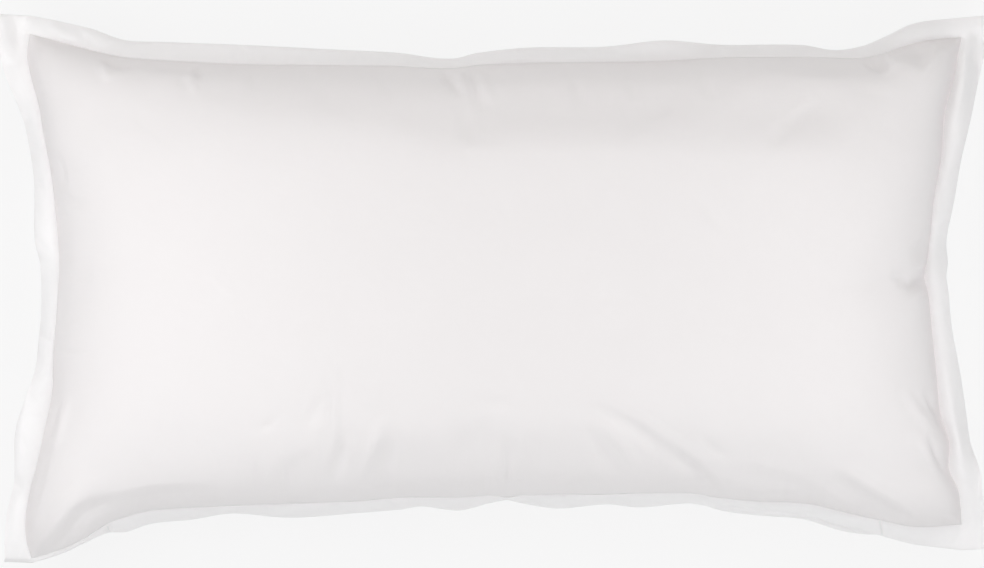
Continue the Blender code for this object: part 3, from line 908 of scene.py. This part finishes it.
def sew(name, tree, lines, thread, material):
    """A piece of stitches along lines of (point, up) pairs. A closed line repeats its start."""
    mesh = bpy.data.meshes.new(name)
    spots = [spot for line in lines for spot in line]
    starts = np.cumsum([0] + [len(line) for line in lines])
    edges = [
        (start + step, start + step + 1)
        for start, line in zip(starts, lines)
        for step in range(len(line) - 1)
    ]
    mesh.from_pydata([point for point, _ in spots], edges, [])
    ups = mesh.attributes.new("up", "FLOAT_VECTOR", "POINT")
    ups.data.foreach_set("vector", np.array([up for _, up in spots]).ravel())
    piece = bpy.data.objects.new(name, mesh)
    bpy.context.scene.collection.objects.link(piece)
    row = piece.modifiers.new("stitches", "NODES")
    row.node_group = tree
    values = dict(thread._asdict(), thread=material)
    for item in tree.interface.items_tree:
        if item.in_out == "INPUT" and item.name in values:
            row[item.identifier] = values[item.name]
    apply_modifiers(piece)
    return piece


def seam_plan():
    """Plan of the stitch row: once round the border, close to its inner edge."""
    run = np.linspace(-1.0, 1.0, ROW_SAMPLES)
    one, out = np.ones_like(run), np.full_like(run, STITCH_SHARE)
    nowhere = np.zeros_like(run)
    sides = (
        (run, one, nowhere, out),
        (one, -run, out, nowhere),
        (-run, -one, nowhere, out),
        (-one, run, out, nowhere),
    )
    return np.concatenate([border_points(*side, False)[:-1, :2] for side in sides])


def lay_on(piece, plan, side):
    """Points of a plan dropped onto a piece from above, or with side -1 from below."""
    tree = BVHTree.FromObject(piece, bpy.context.evaluated_depsgraph_get())
    line = []
    for x, y in plan:
        spot, up, _, _ = tree.ray_cast(Vector((x, y, side)), Vector((0.0, 0.0, -side)))
        if spot:
            line.append((spot, up))
    return line


def make_stitches(front, back, shift, thread):
    """The seam's stitches on both faces of the border, and the tacks that end its opening."""
    tree = stitch_tree()
    plan = seam_plan() + np.array(shift)[:2]
    rows = []
    for name, layer, side in (("seam_front", front, 1.0), ("seam_back", back, -1.0)):
        line = lay_on(layer, plan, side)
        rows.append(sew(name, tree, [line + line[:1]], SEAM_THREAD, thread))
    tacks = []
    for x1, y1, x2, y2 in TACKS:
        ends = np.array(((x1, y1), (x2, y2))) * MM + np.array(shift)[:2]
        tacks.append(lay_on(front, np.linspace(*ends, TACK_SAMPLES), 1.0))
    rows.append(sew("opening_tacks", tree, tacks, TACK_THREAD, thread))
    return rows


# ---------------------------------------------------------------- cotton


# A finish of cotton: its lighter and darker tone, how rough it is and how much light shows
# through it
Finish = namedtuple("Finish", "name light dark roughness show_through")

PANEL_COTTON = Finish("percale", (0.862, 0.843, 0.846), (0.846, 0.827, 0.830), 0.85, 0.0)
# The border is the same percale as the panels. Its tones are set lighter and pinker as painted
# light, standing in for light through its thin double layer, on top of its real show-through
BORDER_COTTON_PAINTED_LIGHT = Finish("border_percale_painted_light", (0.975, 0.92, 0.925), (0.96, 0.902, 0.908), 0.85, 1.0)
SEWING_THREAD = Finish("sewing_thread", (0.90, 0.885, 0.885), (0.86, 0.845, 0.845), 0.6, 0.0)

THREAD_PITCH = 0.00028
THREAD_DEPTH = 0.00004
THREAD_WANDER = 0.00012  # how far a thread strays sideways
WANDER_GRAIN = 220.0
CRUMPLE_DEPTH = 0.0016
CRUMPLE_GRAIN = 26.0
PATCH_GRAIN = 9.0
SHOW_THROUGH_DEPTH = 0.0001


def math_node(tree, operation, *values):
    """Result of a math node on values or other nodes' outputs."""
    return add_node(tree, "ShaderNodeMath", enumerate(values), operation=operation).outputs[0]


def noise(tree, place, grain, detail, roughness=0.5):
    """Soft noise at places on the cloth: the higher its grain, the finer."""
    inputs = {"Vector": place, "Scale": grain, "Detail": detail, "Roughness": roughness}
    return add_node(tree, "ShaderNodeTexNoise", inputs).outputs["Fac"]


def weave(tree, flat_place):
    """Height of a plain weave's threads, which wander a little."""
    flat = add_node(tree, "ShaderNodeSeparateXYZ", {0: flat_place})
    waviness = noise(tree, flat_place, WANDER_GRAIN, 1.0)
    threads = []
    for axis in "XY":
        strayed = math_node(tree, "MULTIPLY_ADD", waviness, THREAD_WANDER, flat.outputs[axis])
        turn = math_node(tree, "MULTIPLY", strayed, math.pi / THREAD_PITCH)
        threads.append(math_node(tree, "SINE", turn))
    return math_node(tree, "MULTIPLY", *threads)


def cotton(finish):
    """Plain-weave cotton: fine threads, slight slubs, soft creases and uneven whiteness."""
    material = bpy.data.materials.new(finish.name)
    material.use_nodes = True
    tree = material.node_tree
    place = add_node(tree, "ShaderNodeTexCoord")
    threads = add_node(
        tree,
        "ShaderNodeBump",
        {"Height": weave(tree, place.outputs["UV"]), "Distance": THREAD_DEPTH, "Strength": 0.6},
    )
    crumple = noise(tree, place.outputs["Object"], CRUMPLE_GRAIN, 4.0, 0.55)
    soft = add_node(
        tree,
        "ShaderNodeBump",
        {
            "Height": crumple,
            "Distance": CRUMPLE_DEPTH,
            "Strength": 0.5,
            "Normal": threads.outputs["Normal"],
        },
    )
    patches = noise(tree, place.outputs["Object"], PATCH_GRAIN, 3.0)
    tone = add_node(
        tree,
        "ShaderNodeMix",
        {0: patches, 6: (*finish.dark, 1.0), 7: (*finish.light, 1.0)},
        data_type="RGBA",
    )
    shader = tree.nodes["Principled BSDF"]
    tree.links.new(soft.outputs["Normal"], shader.inputs["Normal"])
    tree.links.new(tone.outputs[2], shader.inputs["Base Color"])
    shader.inputs["Roughness"].default_value = finish.roughness
    shader.inputs["Specular IOR Level"].default_value = 0.25
    shader.inputs["Sheen Weight"].default_value = 0.12
    shader.inputs["Sheen Roughness"].default_value = 0.4
    shader.inputs["Subsurface Weight"].default_value = finish.show_through
    shader.inputs["Subsurface Radius"].default_value = (1.0, 1.0, 1.0)
    shader.inputs["Subsurface Scale"].default_value = SHOW_THROUGH_DEPTH
    return material


def dress(piece, material, slot, *cad_nodes):
    """Gives a finished piece its cloth, its body and the solid it stands for."""
    piece.data.materials.clear()
    piece.data.materials.append(material)
    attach(piece, "root")
    if cad_nodes:
        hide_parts(*cad_nodes)


# ---------------------------------------------------------------- studio

PICTURE_WIDTH = 984  # pixels
SCALE = 0.968 * MM  # metres to a pixel at the border's height
AIM_UP = 4.0 * SCALE  # how far the camera stands from the case's middle, towards its top side
BORDER_LEVEL = 0.055  # height of the border
LENS = 200.0
SENSOR = 36.0

FLOOR_SIZE = 20.0
FLOOR_GAP = 0.0006  # between the case and the floor
FLOOR_TONE = 0.13
FLOOR_GLOW = 0.81  # light through the table from below
SKY = 0.15

# Soft square lamps aimed at the case: where they stand, their side, how strong and how warm
# they are
Lamp = namedtuple("Lamp", "name x y z size level green blue")

LAMPS = (
    Lamp("left_softbox", -0.72, 0.0, 0.7, 0.7, 0.345, 0.995, 1.0),
    Lamp("right_softbox", 0.70, 0.0, 0.7, 0.7, 0.23, 0.995, 1.0),
    Lamp("near_left_softbox", -0.6, -1.0, 1.0, 0.8, 0.16, 1.0, 1.0),
    Lamp("near_right_softbox", 0.6, -1.1, 1.2, 0.8, 0.31, 1.0, 1.0),
    Lamp("far_left_softbox", -0.6, 1.3, 1.4, 0.8, 0.212, 0.975, 0.955),
    Lamp("far_right_softbox", 0.6, 1.3, 1.4, 0.8, 0.2, 0.975, 0.955),
)
LAMP_TARGET = Vector((0.0, 0.0, 0.08))


def make_floor():
    """A plain pale light table."""
    bm = bmesh.new()
    bmesh.ops.create_grid(bm, x_segments=1, y_segments=1, size=FLOOR_SIZE)
    floor = new_piece("floor", bm)
    set_points(floor.data, get_points(floor.data) - np.array((0.0, 0.0, FLOOR_GAP)))
    paper = bpy.data.materials.new("pale_paper")
    paper.use_nodes = True
    shader = paper.node_tree.nodes["Principled BSDF"]
    shader.inputs["Base Color"].default_value = (FLOOR_TONE, FLOOR_TONE, FLOOR_TONE, 1.0)
    shader.inputs["Roughness"].default_value = 0.9
    shader.inputs["Specular IOR Level"].default_value = 0.0
    shader.inputs["Emission Color"].default_value = (1.0, 1.0, 1.0, 1.0)
    shader.inputs["Emission Strength"].default_value = FLOOR_GLOW
    floor.data.materials.append(paper)


def add_lamp(lamp):
    """A soft square lamp that the camera doesn't see."""
    light = bpy.data.lights.new(lamp.name, "AREA")
    light.size = lamp.size
    light.color = (1.0, lamp.green, lamp.blue)
    holder = bpy.data.objects.new(lamp.name, light)
    holder.location = (lamp.x, lamp.y, lamp.z)
    aim = LAMP_TARGET - holder.location
    light.energy = lamp.level * (math.pi * aim.length) ** 2
    holder.rotation_euler = aim.to_track_quat("-Z", "Y").to_euler()
    holder.visible_camera = False
    bpy.context.scene.collection.objects.link(holder)


def light_studio():
    """The lamps, and a faint even light from all round."""
    world = bpy.data.worlds.new("studio")
    world.use_nodes = True
    background = world.node_tree.nodes["Background"]
    background.inputs["Color"].default_value = (1.0, 1.0, 1.0, 1.0)
    background.inputs["Strength"].default_value = SKY
    bpy.context.scene.world = world
    for lamp in LAMPS:
        add_lamp(lamp)
    bpy.context.scene.view_settings.view_transform = "Standard"


def make_camera(shift):
    """A long lens straight above the case, which is moved by a shift."""
    lens = bpy.data.cameras.new("overhead_camera")
    lens.lens = LENS
    lens.sensor_width = SENSOR
    distance = PICTURE_WIDTH * SCALE * LENS / SENSOR
    camera = bpy.data.objects.new("overhead_camera", lens)
    camera.location = (shift.x, AIM_UP + shift.y, BORDER_LEVEL + distance)
    bpy.context.scene.collection.objects.link(camera)
    bpy.context.scene.camera = camera


# ---------------------------------------------------------------- the case


def shift_to_solid(body):
    """How far the panels' middle is from the middle of the solid they stand for."""
    points = get_points(body.data)
    low, high = points.min(axis=0), points.max(axis=0)
    cad_low, cad_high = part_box("filled_body")
    return Vector(
        (
            (cad_low[0] + cad_high[0] - low[0] - high[0]) / 2.0,
            (cad_low[1] + cad_high[1] - low[1] - high[1]) / 2.0,
            0.0,
        )
    )


def main():
    body = make_body()
    swell_panels(body)
    smooth = body.modifiers.new("smooth", "SUBSURF")
    smooth.levels = 1
    smooth.render_levels = 1
    apply_modifiers(body)
    fold_panels(body)
    front = make_border("border_front_cloth", False)
    back = make_border("border_back_cloth", True)
    shift = shift_to_solid(body)
    for piece in (body, front, back):
        set_points(piece.data, get_points(piece.data) + np.array(shift))
    dress(body, cotton(PANEL_COTTON), "body_cotton", "filled_body")
    # the border's cotton, whose lighter tone is painted light
    hem = cotton(BORDER_COTTON_PAINTED_LIGHT)
    dress(front, hem, "border_cotton", "border_front")
    dress(back, hem, "border_cotton", "border_back")
    thread = cotton(SEWING_THREAD)
    for row in make_stitches(front, back, shift, thread):
        dress(row, thread, "border_cotton")
    make_floor()
    light_studio()
    make_camera(shift)


main()
